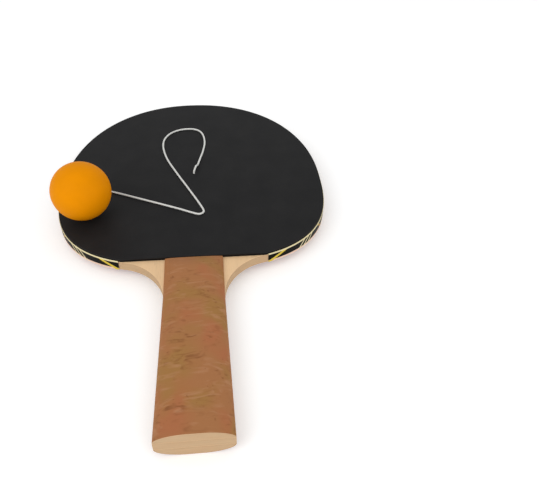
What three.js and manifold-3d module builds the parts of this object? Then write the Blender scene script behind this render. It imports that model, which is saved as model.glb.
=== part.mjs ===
// A table tennis paddle with a ball tethered to the middle of its black face by a thin elastic cord.
// Millimetres. +X across the head, +Y towards the tip, +Z out of the black face. The origin lies under
// the middle of the paddle, level with the underside of the handle.
import * as THREE from "three";
import { mergeVertices } from "three/addons/utils/BufferGeometryUtils.js";
import Module from "manifold-3d";

const wasm = await Module();
wasm.setup();

// Head in plan: two half superellipses that meet on the widest line.
const HEAD_WIDTH = 150;
const WIDEST_TO_TIP = 90;
const WIDEST_TO_FOOT = 70.5; // where the foot curve would close if the rubber didn't end first
const WIDEST_TO_RUBBER_END = 67; // the rubbers' straight lower edge
const TIP_POWER = 2.12;
const FOOT_POWER = 2.8;

// Handle in plan, from the rubbers' lower edge to the butt.
const HANDLE_LENGTH = 100;
const NECK_WIDTH = 29.2;
const BUTT_WIDTH = 31.8;
const NECK_RADIUS = 27; // the hollow fillet between the head and the handle

// The blade's plies, from the middle out, and the two rubbers.
const CORE_PLY = 2.45;
const INNER_PLY = 0.65;
const OUTER_PLY = 0.65;
const SPONGE = 1.0;
const TOPSHEET = 0.75;
const RED_TRIM = 2.0; // the red rubber is trimmed this far short of the rim

// Handle scales: a crowned wooden half on each face of the blade, under a thin veneer.
const SCALE_HEIGHT = 4.85; // with its veneer
const VENEER = 0.6;
const CROWN_FLAT = 0.2; // share of the half width that is flat in the middle
const CROWN_POWER = 1.85;
const RAMP_LENGTH = 11;
const RAMP_FOOT_HEIGHT = 1.6; // height of the ramp's foot, just under the rubber's face
const RAMP_FOOT_ROUNDNESS = 0.2; // 1 keeps the full crown at the ramp's foot, 0 makes it square and flat

// Edge tape round the head.
const TAPE_OVER_SPONGE = 0.65; // how far the tape laps past the blade onto the black sponge
const TAPE_THICKNESS = 0.3;

// The tethered ball.
const BALL_DIAMETER = 31;
const BALL_WALL = 0.45;
const BALL_X = -57.9;
const BALL_BELOW_WIDEST = 29.4;
const BALL_HOLE_BELOW = 50; // degrees that the cord's hole lies below the ball's middle, on its far side
const WELD_GAP = 0.05; // between the two halves of the ball

// The elastic cord and its two knots.
const CORD_DIAMETER = 1.1;
const CORD_STRAIGHT = 2; // outside the ball's hole
const ANCHOR_ABOVE_WIDEST = 6;
const KNOT_RADIUS = 0.95;
const KNOT_STRAND = 0.4;
const CORD_SIDES = 8;
const CORD_STEPS = 80;

// Clearances.
const GLUE_LINE = 0.02;
const VENEER_GLUE_LINE = 0.05;
const TAPE_CLEARANCE = 0.1;
const FIT_GAP = 0.3;
const LIE_GAP = 0.1; // under the ball and the cord where they lie on the face

// Facets.
const FOOT_FACETS = 16;
const TIP_FACETS = 20;
const FILLET_FACETS = 8;
const CROWN_FACETS = 8;
const RAMP_FACETS = 5;
const BALL_FACETS = 32;
const HOLE_FACETS = 16;
const TANGENT_STEPS = 2000;

// Levels along the length and through the thickness.
const LENGTH =
  TAPE_THICKNESS + TAPE_CLEARANCE + WIDEST_TO_TIP + WIDEST_TO_RUBBER_END + HANDLE_LENGTH;
const BUTT_Y = -LENGTH / 2;
const RUBBER_END_Y = BUTT_Y + HANDLE_LENGTH;
const WIDEST_Y = RUBBER_END_Y + WIDEST_TO_RUBBER_END;
const BLADE_BOTTOM = SCALE_HEIGHT + GLUE_LINE;
const BLADE_THICKNESS = CORE_PLY + 2 * INNER_PLY + 2 * OUTER_PLY + 4 * GLUE_LINE;
const BLADE_TOP = BLADE_BOTTOM + BLADE_THICKNESS;
const BLACK_FACE = BLADE_TOP + SPONGE + TOPSHEET + 2 * GLUE_LINE;
const ANCHOR_Y = WIDEST_Y + ANCHOR_ABOVE_WIDEST;
const BALL_RADIUS = BALL_DIAMETER / 2;
const BALL_CENTRE = new THREE.Vector3(
  BALL_X,
  WIDEST_Y - BALL_BELOW_WIDEST,
  BLACK_FACE + LIE_GAP + BALL_RADIUS,
);
const CORD_HOLE_RADIUS = CORD_DIAMETER / 2 + FIT_GAP;
const KNOT_REACH = 1.5 * KNOT_RADIUS + KNOT_STRAND; // outer radius of a knot
const KNOT_HALF_HEIGHT = KNOT_RADIUS / 2 + KNOT_STRAND;
const KNOT_Z = BLADE_TOP - GLUE_LINE - FIT_GAP - KNOT_HALF_HEIGHT;

// The cord's route: x and y from its anchor, and the height of its middle line above the black face.
// It rises out of its pinhole, flops over onto the face, makes one open loop and one fold, and curls in
// behind the ball.
const LYING = LIE_GAP + CORD_DIAMETER / 2;
const CORD_ROUTE = [
  [0, 0, -0.9],
  [0.04, 0.03, 0.25],
  [0.37, 0.37, 1.5],
  [0.9, 1.32, 2.5],
  [1.38, 2.65, 2.9],
  [1.72, 4, 2.55],
  [2.05, 5.6, 1.65],
  [2.36, 7.25, LYING + 0.27],
  [2.75, 9.1, LYING + 0.02],
  [3.9, 14.4, LYING],
  [5.7, 22.4, LYING],
  [7, 34, LYING],
  [5.5, 43.9, LYING],
  [2.8, 48.2, LYING],
  [-1.7, 50.2, LYING],
  [-9.4, 49.2, LYING],
  [-15.2, 45, LYING],
  [-18.6, 38.2, LYING],
  [-19.2, 30, LYING],
  [-16.6, 16.5, LYING],
  [-10.4, 0.6, LYING],
  [-4.2, -13.6, LYING],
  [3, -30.4, LYING],
  [5.3, -36.6, LYING],
  [5.41, -38.14, LYING],
  [4.62, -39.49, LYING],
  [3.24, -40.13, LYING],
  [1.73, -39.89, LYING],
  [-8.7, -34.5, LYING],
  [-28.1, -25.1, LYING],
  [-46, -16.7, LYING],
  [-51, -15, LYING],
  [-55.2, -15.8, LYING],
  [-57.5, -18.3, LYING],
  [-57.9, -21, LYING + 0.02],
  [-57.9, -22.7, LYING + 0.5],
];

const MATERIALS = {
  limba: [0xe0bf94, 0.6],
  basswood: [0xcbac82, 0.65],
  creamFoam: [0xd9b55c, 0.9],
  blackFoam: [0x1e1e1e, 0.9],
  blackRubber: [0x2a2a2a, 0.75],
  redRubber: [0xa02226, 0.7],
  burrVeneer: [0xa4714a, 0.6],
  edgeTape: [0x1a1a18, 0.5],
  celluloid: [0xe99503, 0.45],
  elastic: [0xd2d2ce, 0.8],
};

const paddle = new THREE.Group();

function addPiece(name, geometry, materialName, place = new THREE.Vector3()) {
  const [color, roughness] = MATERIALS[materialName];
  const material = new THREE.MeshStandardMaterial({ color, roughness, metalness: 0 });
  const mesh = new THREE.Mesh(geometry, material);
  mesh.name = name;
  mesh.position.copy(place);
  paddle.add(mesh);
  return mesh;
}

function atHeight(z) {
  return new THREE.Vector3(0, 0, z);
}

// Solids for cutting.
function toSolid(geometry) {
  const bare = geometry.clone();
  bare.deleteAttribute("normal");
  bare.deleteAttribute("uv");
  const merged = mergeVertices(bare, 1e-4);
  const mesh = new wasm.Mesh({
    numProp: 3,
    vertProperties: merged.attributes.position.array,
    triVerts: new Uint32Array(merged.index.array),
  });
  return new wasm.Manifold(mesh);
}

function cut(geometry, tool) {
  const left = toSolid(geometry).subtract(toSolid(tool)).getMesh();
  const result = new THREE.BufferGeometry();
  result.setAttribute("position", new THREE.BufferAttribute(left.vertProperties, 3));
  result.setIndex(new THREE.BufferAttribute(left.triVerts, 1));
  return result;
}

// Head outline. The angle runs from 0 on the widest line to a quarter turn at the tip or the foot.
function superellipse(angle, halfWidth, reach, power) {
  const x = halfWidth * Math.cos(angle) ** (2 / power);
  const y = reach * Math.sin(angle) ** (2 / power);
  return new THREE.Vector2(x, y);
}

function tipPoint(angle, grow) {
  const p = superellipse(angle, HEAD_WIDTH / 2 + grow, WIDEST_TO_TIP + grow, TIP_POWER);
  return new THREE.Vector2(p.x, WIDEST_Y + p.y);
}

function footPoint(angle, grow) {
  const p = superellipse(angle, HEAD_WIDTH / 2 + grow, WIDEST_TO_FOOT + grow, FOOT_POWER);
  return new THREE.Vector2(p.x, WIDEST_Y - p.y);
}

// The foot curve's angle at the rubbers' lower edge.
function rubberEndAngle(grow) {
  const share = WIDEST_TO_RUBBER_END / (WIDEST_TO_FOOT + grow);
  return Math.asin(share ** (FOOT_POWER / 2));
}

// Right half of the head's rim from an angle on the foot curve up to the tip.
function rightRim(startAngle, grow) {
  const points = [];
  for (let i = 0; i < FOOT_FACETS; i++) {
    points.push(footPoint(startAngle * (1 - i / FOOT_FACETS), grow));
  }
  for (let i = 0; i <= TIP_FACETS; i++) {
    points.push(tipPoint(((Math.PI / 2) * i) / TIP_FACETS, grow));
  }
  points[points.length - 1].x = 0;
  return points;
}

// A closed outline from its right half, which ends on the middle line.
function mirrored(rightHalf) {
  const left = rightHalf.filter((p) => p.x > 0).map((p) => new THREE.Vector2(-p.x, p.y));
  return [...rightHalf, ...left.reverse()];
}

function plate(outline, thickness) {
  const options = { depth: thickness, bevelEnabled: false };
  return new THREE.ExtrudeGeometry(new THREE.Shape(outline), options);
}

function handleHalfWidth(y) {
  const share = THREE.MathUtils.clamp((neckFillet.centre.y - y) / (neckFillet.centre.y - BUTT_Y), 0, 1);
  return THREE.MathUtils.lerp(NECK_WIDTH, BUTT_WIDTH, share) / 2;
}

// The neck fillet touches the handle's side and the foot curve. Its centre is found by halving.
function findNeckFillet() {
  const centreX = NECK_WIDTH / 2 + NECK_RADIUS;
  const nearest = (centre) => {
    let best = { distance: Infinity, angle: 0 };
    for (let i = 0; i <= TANGENT_STEPS; i++) {
      const angle = ((Math.PI / 2) * i) / TANGENT_STEPS;
      const distance = footPoint(angle, 0).distanceTo(centre);
      if (distance < best.distance) best = { distance, angle };
    }
    return best;
  };
  let near = RUBBER_END_Y;
  let far = BUTT_Y;
  for (let i = 0; i < 40; i++) {
    const middle = (near + far) / 2;
    if (nearest(new THREE.Vector2(centreX, middle)).distance < NECK_RADIUS) near = middle;
    else far = middle;
  }
  const centre = new THREE.Vector2(centreX, far);
  return { centre, headAngle: nearest(centre).angle };
}

const neckFillet = findNeckFillet();

// The blade runs through the handle to the butt.
function bladeOutline() {
  const { centre, headAngle } = neckFillet;
  const touch = footPoint(headAngle, 0).sub(centre);
  const half = [new THREE.Vector2(BUTT_WIDTH / 2, BUTT_Y)];
  for (let i = 0; i < FILLET_FACETS; i++) {
    const turn = THREE.MathUtils.lerp(Math.PI, Math.atan2(touch.y, touch.x), i / FILLET_FACETS);
    const spoke = new THREE.Vector2(Math.cos(turn), Math.sin(turn));
    half.push(spoke.multiplyScalar(NECK_RADIUS).add(centre));
  }
  half.push(footPoint(headAngle, 0));
  half.push(...rightRim(rubberEndAngle(0), 0));
  return mirrored(half);
}

function pinhole(geometry, radius, bottom, top) {
  const tool = new THREE.CylinderGeometry(radius, radius, top - bottom, HOLE_FACETS);
  tool.rotateX(Math.PI / 2);
  tool.translate(0, ANCHOR_Y, (bottom + top) / 2);
  return cut(geometry, tool);
}

// Blade: five plies, with a pocket for the cord's knot in the middle of the black side.
function addBlade() {
  const outline = bladeOutline();
  const pocketRadius = KNOT_REACH + FIT_GAP;
  const pocketBottom = BLADE_TOP - 2 * KNOT_HALF_HEIGHT - 2 * FIT_GAP;
  const plies = [
    ["red_side_outer_ply", OUTER_PLY, "limba"],
    ["red_side_inner_ply", INNER_PLY, "basswood"],
    ["core_ply", CORE_PLY, "basswood"],
    ["black_side_inner_ply", INNER_PLY, "basswood"],
    ["black_side_outer_ply", OUTER_PLY, "limba"],
  ];
  let z = BLADE_BOTTOM;
  for (const [name, thickness, materialName] of plies) {
    let ply = plate(outline, thickness);
    if (z + thickness > pocketBottom) {
      ply = pinhole(ply, pocketRadius, pocketBottom - z, BLADE_TOP - z);
    }
    addPiece(name, ply, materialName, atHeight(z));
    z += thickness + GLUE_LINE;
  }
}

// Rubbers: a sponge and a topsheet on each face. The black pair has the cord's pinhole.
function addRubbers() {
  const black = mirrored(rightRim(rubberEndAngle(0), 0));
  const red = mirrored(rightRim(rubberEndAngle(-RED_TRIM), -RED_TRIM));
  const spongeZ = BLADE_TOP + GLUE_LINE;
  const topsheetZ = spongeZ + SPONGE + GLUE_LINE;
  const redSpongeZ = BLADE_BOTTOM - GLUE_LINE - SPONGE;
  const redTopsheetZ = redSpongeZ - GLUE_LINE - TOPSHEET;
  const pierced = (thickness) => pinhole(plate(black, thickness), CORD_HOLE_RADIUS, -1, thickness + 1);
  addPiece("black_sponge", pierced(SPONGE), "blackFoam", atHeight(spongeZ));
  addPiece("black_topsheet", pierced(TOPSHEET), "blackRubber", atHeight(topsheetZ));
  addPiece("red_sponge", plate(red, SPONGE), "creamFoam", atHeight(redSpongeZ));
  addPiece("red_topsheet", plate(red, TOPSHEET), "redRubber", atHeight(redTopsheetZ));
}

// Edge tape: a band round the rim from one end of the rubber's lower edge to the other.
function addEdgeTape() {
  const startAngle = rubberEndAngle(0);
  const inner = mirrored(rightRim(startAngle, TAPE_CLEARANCE));
  const outer = mirrored(rightRim(startAngle, TAPE_CLEARANCE + TAPE_THICKNESS));
  const band = plate([...outer, ...inner.reverse()], BLADE_THICKNESS + TAPE_OVER_SPONGE);
  addPiece("edge_tape", band, "edgeTape", atHeight(BLADE_BOTTOM));
}

// Crown of a handle scale over a half width of 1 and a height of 1.
function crownSection(base) {
  const points = [new THREE.Vector2(1, base)];
  for (let i = 0; i <= CROWN_FACETS; i++) {
    const p = superellipse(((Math.PI / 2) * i) / CROWN_FACETS, 1 - CROWN_FLAT, 1, CROWN_POWER);
    points.push(new THREE.Vector2(CROWN_FLAT + p.x, p.y));
  }
  if (base === 0) points.shift();
  const left = points.map((p) => new THREE.Vector2(-p.x, p.y));
  return new THREE.Shape([...points, ...left.reverse()]);
}

// How far up the ramp a place along the handle is: 0 at its foot, 1 from its top to the butt.
function rampShare(y) {
  const behind = RUBBER_END_Y - FIT_GAP - y;
  return Math.sin((THREE.MathUtils.clamp(behind / RAMP_LENGTH, 0, 1) * Math.PI) / 2);
}

function scaleHeight(y) {
  return THREE.MathUtils.lerp(RAMP_FOOT_HEIGHT, SCALE_HEIGHT, rampShare(y));
}

function crownRoundness(y) {
  return THREE.MathUtils.lerp(RAMP_FOOT_ROUNDNESS, 1, rampShare(y));
}

// A crowned bar along the handle, standing on z = 0 and lying a given inset inside the handle's skin.
// With an overrun it also reaches that far past both ends and below its foot, to cut with.
function handleBar(inset, overrun) {
  const frontY = RUBBER_END_Y - FIT_GAP;
  const stations = [];
  for (let i = 0; i <= RAMP_FACETS; i++) stations.push(frontY - (RAMP_LENGTH * i) / RAMP_FACETS);
  stations.push(neckFillet.centre.y, BUTT_Y);
  const steps = stations.length - 1;
  const bar = new THREE.ExtrudeGeometry(crownSection(overrun > 0 ? -1 : 0), {
    depth: 1,
    steps,
    bevelEnabled: false,
  });
  const position = bar.attributes.position;
  for (let i = 0; i < position.count; i++) {
    const station = Math.round(position.getZ(i) * steps);
    const y = stations[station];
    const endShift = station === 0 ? overrun : station === steps ? -overrun : 0;
    const x = position.getX(i) * (handleHalfWidth(y) - inset);
    const share = position.getY(i);
    const z = share < 0 ? -overrun : share ** crownRoundness(y) * (scaleHeight(y) - inset);
    position.setXYZ(i, x, y + endShift, z);
  }
  return bar;
}

// Handle: a wooden scale and its veneer on each face of the blade.
function addHandle() {
  const wood = handleBar(VENEER + VENEER_GLUE_LINE, 0);
  const skin = cut(handleBar(0, 0), handleBar(VENEER, 1));
  const top = atHeight(BLADE_TOP + GLUE_LINE);
  const bottom = atHeight(BLADE_BOTTOM - GLUE_LINE);
  addPiece("upper_handle_scale", wood, "basswood", top);
  addPiece("upper_scale_veneer", skin, "burrVeneer", top);
  addPiece("lower_handle_scale", wood, "basswood", bottom).scale.z = -1;
  addPiece("lower_scale_veneer", skin, "burrVeneer", bottom).scale.z = -1;
}

// Half of the hollow ball, from its pole on +Y down to the weld. The cord's hole is at one half's pole.
function ballHalf(holeRadius) {
  const facets = BALL_FACETS / 4;
  const arc = (radius) => {
    const top = Math.acos(holeRadius / radius);
    const low = Math.asin(WELD_GAP / 2 / radius);
    const points = [];
    for (let i = 0; i <= facets; i++) {
      const turn = THREE.MathUtils.lerp(top, low, i / facets);
      points.push(new THREE.Vector2(radius * Math.cos(turn), radius * Math.sin(turn)));
    }
    points[0].x = holeRadius;
    return points;
  };
  const profile = [...arc(BALL_RADIUS - BALL_WALL), ...arc(BALL_RADIUS).reverse()];
  if (holeRadius > 0) profile.push(profile[0].clone());
  return new THREE.LatheGeometry(profile, BALL_FACETS);
}

// The cord's hole points out of the ball backwards and down, and the ball's weld lies square to it.
const HOLE_AXIS = new THREE.Vector3(0, 1, 0).applyAxisAngle(
  new THREE.Vector3(1, 0, 0),
  -THREE.MathUtils.degToRad(BALL_HOLE_BELOW),
);
const ALONG_HOLE = new THREE.Quaternion().setFromUnitVectors(new THREE.Vector3(0, 0, 1), HOLE_AXIS);

function knot() {
  return new THREE.TorusKnotGeometry(KNOT_RADIUS, KNOT_STRAND, 36, 6, 2, 3);
}

function addBall() {
  const poleUp = new THREE.Vector3(0, 1, 0);
  const plainAxis = HOLE_AXIS.clone().negate();
  const plain = addPiece("ball_plain_half", ballHalf(0), "celluloid", BALL_CENTRE);
  plain.quaternion.setFromUnitVectors(poleUp, plainAxis);
  const holed = addPiece("ball_holed_half", ballHalf(CORD_HOLE_RADIUS), "celluloid", BALL_CENTRE);
  holed.quaternion.setFromUnitVectors(poleUp, HOLE_AXIS);
  const depth = BALL_WALL + CORD_DIAMETER + FIT_GAP + KNOT_HALF_HEIGHT;
  const inside = BALL_CENTRE.clone().addScaledVector(HOLE_AXIS, BALL_RADIUS - depth);
  addPiece("ball_knot", knot(), "elastic", inside).quaternion.copy(ALONG_HOLE);
}

// The cord runs from just above its anchor knot to just inside the ball's wall.
function addCord() {
  const start = new THREE.Vector3(0, ANCHOR_Y, KNOT_Z + KNOT_HALF_HEIGHT + FIT_GAP);
  const alongHole = (distance) => BALL_CENTRE.clone().addScaledVector(HOLE_AXIS, distance);
  const route = [
    start,
    ...CORD_ROUTE.map(([x, y, height]) => new THREE.Vector3(x, ANCHOR_Y + y, BLACK_FACE + height)),
    alongHole(BALL_RADIUS + CORD_STRAIGHT),
    alongHole(BALL_RADIUS + FIT_GAP),
    alongHole(BALL_RADIUS - BALL_WALL - CORD_DIAMETER),
  ];
  const section = new THREE.Shape();
  section.absarc(0, 0, CORD_DIAMETER / 2, 0, 2 * Math.PI);
  const tube = new THREE.ExtrudeGeometry(section, {
    steps: CORD_STEPS,
    curveSegments: CORD_SIDES / 2,
    extrudePath: new THREE.CatmullRomCurve3(route, false, "centripetal"),
  });
  addPiece("elastic_cord", tube, "elastic");
  addPiece("anchor_knot", knot(), "elastic", new THREE.Vector3(0, ANCHOR_Y, KNOT_Z));
}

addBlade();
addRubbers();
addEdgeTape();
addHandle();
addBall();
addCord();

export default paddle;
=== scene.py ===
from math import asin, copysign, cos, pi, radians, sin

import bmesh
import bpy
from bpy.props import FloatProperty, FloatVectorProperty, IntProperty, PointerProperty
from mathutils import Matrix, Vector


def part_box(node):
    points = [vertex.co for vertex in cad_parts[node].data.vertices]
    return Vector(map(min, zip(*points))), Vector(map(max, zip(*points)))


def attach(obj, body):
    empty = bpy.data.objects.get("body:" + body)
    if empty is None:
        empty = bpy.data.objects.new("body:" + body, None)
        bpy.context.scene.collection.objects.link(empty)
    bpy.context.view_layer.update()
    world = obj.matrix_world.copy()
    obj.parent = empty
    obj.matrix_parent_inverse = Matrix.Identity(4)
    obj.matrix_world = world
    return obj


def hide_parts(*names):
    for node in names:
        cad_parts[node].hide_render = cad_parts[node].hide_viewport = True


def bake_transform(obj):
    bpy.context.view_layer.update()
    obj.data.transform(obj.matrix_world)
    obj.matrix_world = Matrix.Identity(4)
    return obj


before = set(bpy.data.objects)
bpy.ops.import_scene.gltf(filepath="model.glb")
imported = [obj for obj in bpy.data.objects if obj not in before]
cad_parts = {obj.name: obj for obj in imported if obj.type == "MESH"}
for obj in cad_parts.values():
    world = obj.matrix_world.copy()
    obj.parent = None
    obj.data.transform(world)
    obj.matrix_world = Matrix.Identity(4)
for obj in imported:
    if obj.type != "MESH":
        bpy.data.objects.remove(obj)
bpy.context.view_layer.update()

bl_info = {
    "name": "Table Tennis Paddle",
    "version": (1, 0, 0),
    "blender": (4, 5, 0),
    "location": "3D View > Sidebar > Paddle",
    "description": "Builds a wooden paddle with rubber faces and a ball on an elastic cord",
    "category": "Object",
}

MM = 0.001

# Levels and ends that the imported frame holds.
BUTT_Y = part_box("core_ply")[0].y
RUBBER_END_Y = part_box("black_topsheet")[0].y
TIP_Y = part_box("black_topsheet")[1].y
BLACK_FACE_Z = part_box("black_topsheet")[1].z
HEAD_WIDTH = 2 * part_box("black_topsheet")[1].x
RED_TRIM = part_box("black_topsheet")[1].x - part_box("red_topsheet")[1].x
TAPE_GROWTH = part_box("edge_tape")[1].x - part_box("black_topsheet")[1].x
HANDLE_FRONT_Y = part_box("upper_scale_veneer")[1].y
BUTT_WIDTH = 2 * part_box("upper_scale_veneer")[1].x
SCALE_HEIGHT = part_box("upper_scale_veneer")[1].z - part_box("upper_scale_veneer")[0].z

# How finely the curved shapes are divided.
RIM_SIDES = 288
FILLET_STEPS = 28
HOLE_SIDES = 24
CROWN_STEPS = 56
HANDLE_ROWS = 48
BALL_ARC_STEPS = 40
BALL_TURN_STEPS = 96
CORD_SIDES = 16
CORD_RING_STEP = 0.16 * MM
ROUNDING_STEPS = 3
HALVINGS = 40
TANGENT_TRIALS = 400

MERGE_DISTANCE = MM / 1000
STEEP = 0.5  # a face whose normal rises less than this stands on edge
FACING_ALONG = 0.7  # a face whose normal runs more than this along the handle is a sawn end
CROWN_STRETCH = 1.12  # width of a crown's skin against the width that it covers
FLOOR_LIFT = 0.26  # how much lighter the floor is seen than it is

# The cord's route from its anchor: x and y, and the height of its middle line above the black face, in
# millimetres. It rises out of its pinhole, flops over, makes one open loop and one fold, and curls in
# behind the ball.
LYING = 0.65
CORD_ROUTE = [
    (0, 0, -0.9),
    (0.04, 0.03, 0.25),
    (0.37, 0.37, 1.5),
    (0.9, 1.32, 2.5),
    (1.38, 2.65, 2.9),
    (1.72, 4, 2.55),
    (2.05, 5.6, 1.65),
    (2.36, 7.25, LYING + 0.27),
    (2.75, 9.1, LYING + 0.02),
    (3.9, 14.4, LYING),
    (5.7, 22.4, LYING),
    (7, 34, LYING),
    (5.5, 43.9, LYING),
    (2.8, 48.2, LYING),
    (-1.7, 50.2, LYING),
    (-9.4, 49.2, LYING),
    (-15.2, 45, LYING),
    (-18.6, 38.2, LYING),
    (-19.2, 30, LYING),
    (-16.6, 16.5, LYING),
    (-10.4, 0.6, LYING),
    (-4.2, -13.6, LYING),
    (3, -30.4, LYING),
    (5.3, -36.6, LYING),
    (5.41, -38.14, LYING),
    (4.62, -39.49, LYING),
    (3.24, -40.13, LYING),
    (1.73, -39.89, LYING),
    (-8.7, -34.5, LYING),
    (-28.1, -25.1, LYING),
    (-46, -16.7, LYING),
    (-51, -15, LYING),
    (-55.2, -15.8, LYING),
    (-57.5, -18.3, LYING),
    (-57.9, -21, LYING + 0.02),
    (-57.9, -22.7, LYING + 0.5),
]


def linear(code):
    """Turns an sRGB hex colour such as "#A3704A" into linear red, green and blue."""
    shares = [int(code[i : i + 2], 16) / 255 for i in (1, 3, 5)]
    return [s / 12.92 if s <= 0.04045 else ((s + 0.055) / 1.055) ** 2.4 for s in shares]


def number(name, description, default, **settings):
    return FloatProperty(name=name, description=description, default=default, **settings)


def length(name, description, millimetres):
    metres = millimetres * MM
    return number(name, description, metres, min=0.0, precision=5, unit="LENGTH", subtype="DISTANCE")


def angle(name, description, degrees):
    return number(name, description, radians(degrees), unit="ROTATION", subtype="ANGLE")


def colour(name, description, code):
    return FloatVectorProperty(
        name=name,
        description=description,
        default=linear(code),
        min=0.0,
        max=1.0,
        size=3,
        subtype="COLOR",
    )


class PaddleSizes(bpy.types.PropertyGroup):
    widest_to_tip: length("Widest line to tip", "From the head's widest line to its tip", 90)
    widest_to_foot: length("Widest line to foot", "Reach of the curve below the widest line", 70.5)
    tip_power: number("Tip power", "Fullness of the tip's curve", 2.12)
    foot_power: number("Foot power", "Fullness of the foot's curve", 2.8)
    neck_width: length("Neck width", "Width of the handle where the neck's hollows end", 29.2)
    neck_radius: length("Neck radius", "Radius of the hollows between head and handle", 27)
    veneer: length("Veneer", "Thickness of the veneer on the handle scales", 0.6)
    veneer_glue: length("Veneer glue line", "Room between a veneer and its scale", 0.05)
    crown_flat: number("Crown flat", "Share of a scale's width that is flat", 0.2, subtype="FACTOR")
    crown_power: number("Crown power", "Fullness of a scale's crown", 1.85)
    ramp_length: length("Ramp length", "Length of the ramp at a scale's front end", 11)
    ramp_foot: length("Ramp foot", "Height of the ramp's foot", 1.6)
    ramp_roundness: number("Ramp roundness", "Crown left at the ramp's foot", 0.2, subtype="FACTOR")
    tape_thickness: length("Tape thickness", "Thickness of the edge tape", 0.3)
    wood_rounding: length("Wood rounding", "Sanded rounding along the blade's edges", 0.16)
    butt_rounding: length("Butt rounding", "Sanded rounding round the handle's end", 0.28)
    rubber_rounding: length("Rubber rounding", "Rounding of a rubber's trimmed edge", 0.12)
    pocket_radius: length("Pocket radius", "Radius of the pocket that holds the cord's knot", 2.125)
    pocket_depth: length("Pocket depth", "Depth of the knot's pocket below the blade's face", 2.35)
    pinhole_radius: length("Pinhole radius", "Radius of the cord's hole in rubber and ball", 0.85)
    anchor_above_widest: length("Anchor", "How far the cord's anchor lies above the widest line", 6)


class TetherSizes(bpy.types.PropertyGroup):
    ball_diameter: length("Ball diameter", "Outer diameter of the ball", 31)
    ball_wall: length("Ball wall", "Thickness of the ball's wall", 0.45)
    ball_place: FloatVectorProperty(
        name="Ball place",
        description="Where the ball touches the face, from the middle of the widest line",
        default=(-57.9 * MM, -29.4 * MM),
        size=2,
        unit="LENGTH",
        subtype="XYZ",
    )
    lie_gap: length("Lie gap", "Room under the ball where it lies on the face", 0.1)
    weld_gap: length("Weld gap", "Room between the ball's halves", 0.05)
    hole_below: angle("Hole angle", "How far the cord's hole lies below the ball's middle", 50)
    cord_diameter: length("Cord diameter", "Diameter of the braided cord", 1.1)
    cord_length: length("Cord length", "Length of the cord from knot to knot", 243)
    cord_straight: length("Cord straight", "Straight stretch of cord outside the ball's hole", 2)
    cord_inside: length("Cord inside", "How far the cord reaches inside the ball's wall", 1.1)
    hole_clearance: length("Hole clearance", "Room at the mouth of the ball's hole", 0.3)
    braid_lead: length("Braid lead", "Length of cord in one turn of a braid strand", 4.8)
    braid_relief: length("Braid relief", "Depth of the grooves between braid strands", 0.06)
    braid_strands: IntProperty(
        name="Braid strands", description="Strands that run each way round the cord", default=4, min=2
    )


class PaddleColours(bpy.types.PropertyGroup):
    black_rubber: colour("Black rubber", "Colour of the black topsheet", "#1B1B1C")
    red_rubber: colour("Red rubber", "Colour of the red topsheet", "#A32529")
    black_foam: colour("Black foam", "Colour of the sponge under the black topsheet", "#0E0E0E")
    cream_foam: colour("Cream foam", "Colour of the sponge under the red topsheet", "#D9B55C")
    limba: colour("Limba", "Colour of the blade's outer plies", "#ECC79A")
    basswood: colour("Basswood", "Colour of the core, the inner plies and the scales", "#D2B28A")
    sawn_wood: colour("Sawn wood", "Colour of sawn edges and the butt", "#CDAD87")
    veneer_brown: colour("Veneer brown", "Main colour of the handle's veneer", "#A67046")
    veneer_olive: colour("Veneer olive", "Olive patches of the handle's veneer", "#A0743F")
    veneer_red: colour("Veneer red", "Redder patches of the handle's veneer", "#AB6A44")
    veneer_dark: colour("Veneer streaks", "Dark streaks of the handle's veneer", "#7C4A27")
    tape_black: colour("Tape black", "Ground of the edge tape", "#070705")
    tape_cream: colour("Tape cream", "Border lines of the edge tape", "#EBDDB0")
    tape_yellow: colour("Tape yellow", "Slanted bars of the edge tape", "#DCC04A")
    ball_orange: colour("Ball orange", "Colour of the ball", "#E78E00")
    elastic_white: colour("Elastic white", "Colour of the cord's strands", "#F2F2EE")
    elastic_groove: colour("Elastic groove", "Colour between the cord's strands", "#B4B4B0")
    floor_white: colour("Floor white", "Colour of the studio floor", "#F4F4F4")


class PaddleStudio(bpy.types.PropertyGroup):
    camera_place: FloatVectorProperty(
        name="Camera place",
        description="Where the camera stands",
        default=(0.01287, -0.23762, 0.20594),
        size=3,
        unit="LENGTH",
        subtype="TRANSLATION",
    )
    camera_azimuth: angle("Camera azimuth", "Heading of the camera, from +Y towards +X", 6.946)
    camera_dip: angle("Camera dip", "How far the camera looks below level", 42.468)
    camera_roll: angle("Camera roll", "Turn of the camera about its own line of sight", 1.841)
    camera_lens: number("Camera lens", "Focal length in millimetres", 37.45, unit="CAMERA")
    sky: number("Sky", "Strength of the even light from all round", 0.72)
    key: number("Key", "Power of the soft light from the left", 5.0, unit="POWER")
    fill: number("Fill", "Power of the soft light from the right", 3.0, unit="POWER")


# Outlines


def rounded(share, power):
    """One coordinate of a superellipse, from the same coordinate of the unit circle."""
    return copysign(abs(share) ** (2 / power), share)


def widest_y(sizes):
    return TIP_Y - sizes.widest_to_tip


def anchor_y(sizes):
    return widest_y(sizes) + sizes.anchor_above_widest


def head_point(sizes, x, y, growth):
    """Takes a point of the unit circle to the head's outline, grown outwards all round."""
    reach, power = (sizes.widest_to_tip, sizes.tip_power)
    if y < 0:
        reach, power = (sizes.widest_to_foot, sizes.foot_power)
    across = (HEAD_WIDTH / 2 + growth) * rounded(x, power)
    along = (reach + growth) * rounded(y, power)
    return Vector((across, widest_y(sizes) + along, 0))


def cut_off(bm, place, side):
    """Cuts everything away that lies beyond a plane through a place, on the side that it faces."""
    everything = bm.verts[:] + bm.edges[:] + bm.faces[:]
    bmesh.ops.bisect_plane(bm, geom=everything, plane_co=place, plane_no=side, clear_outer=True)


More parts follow.
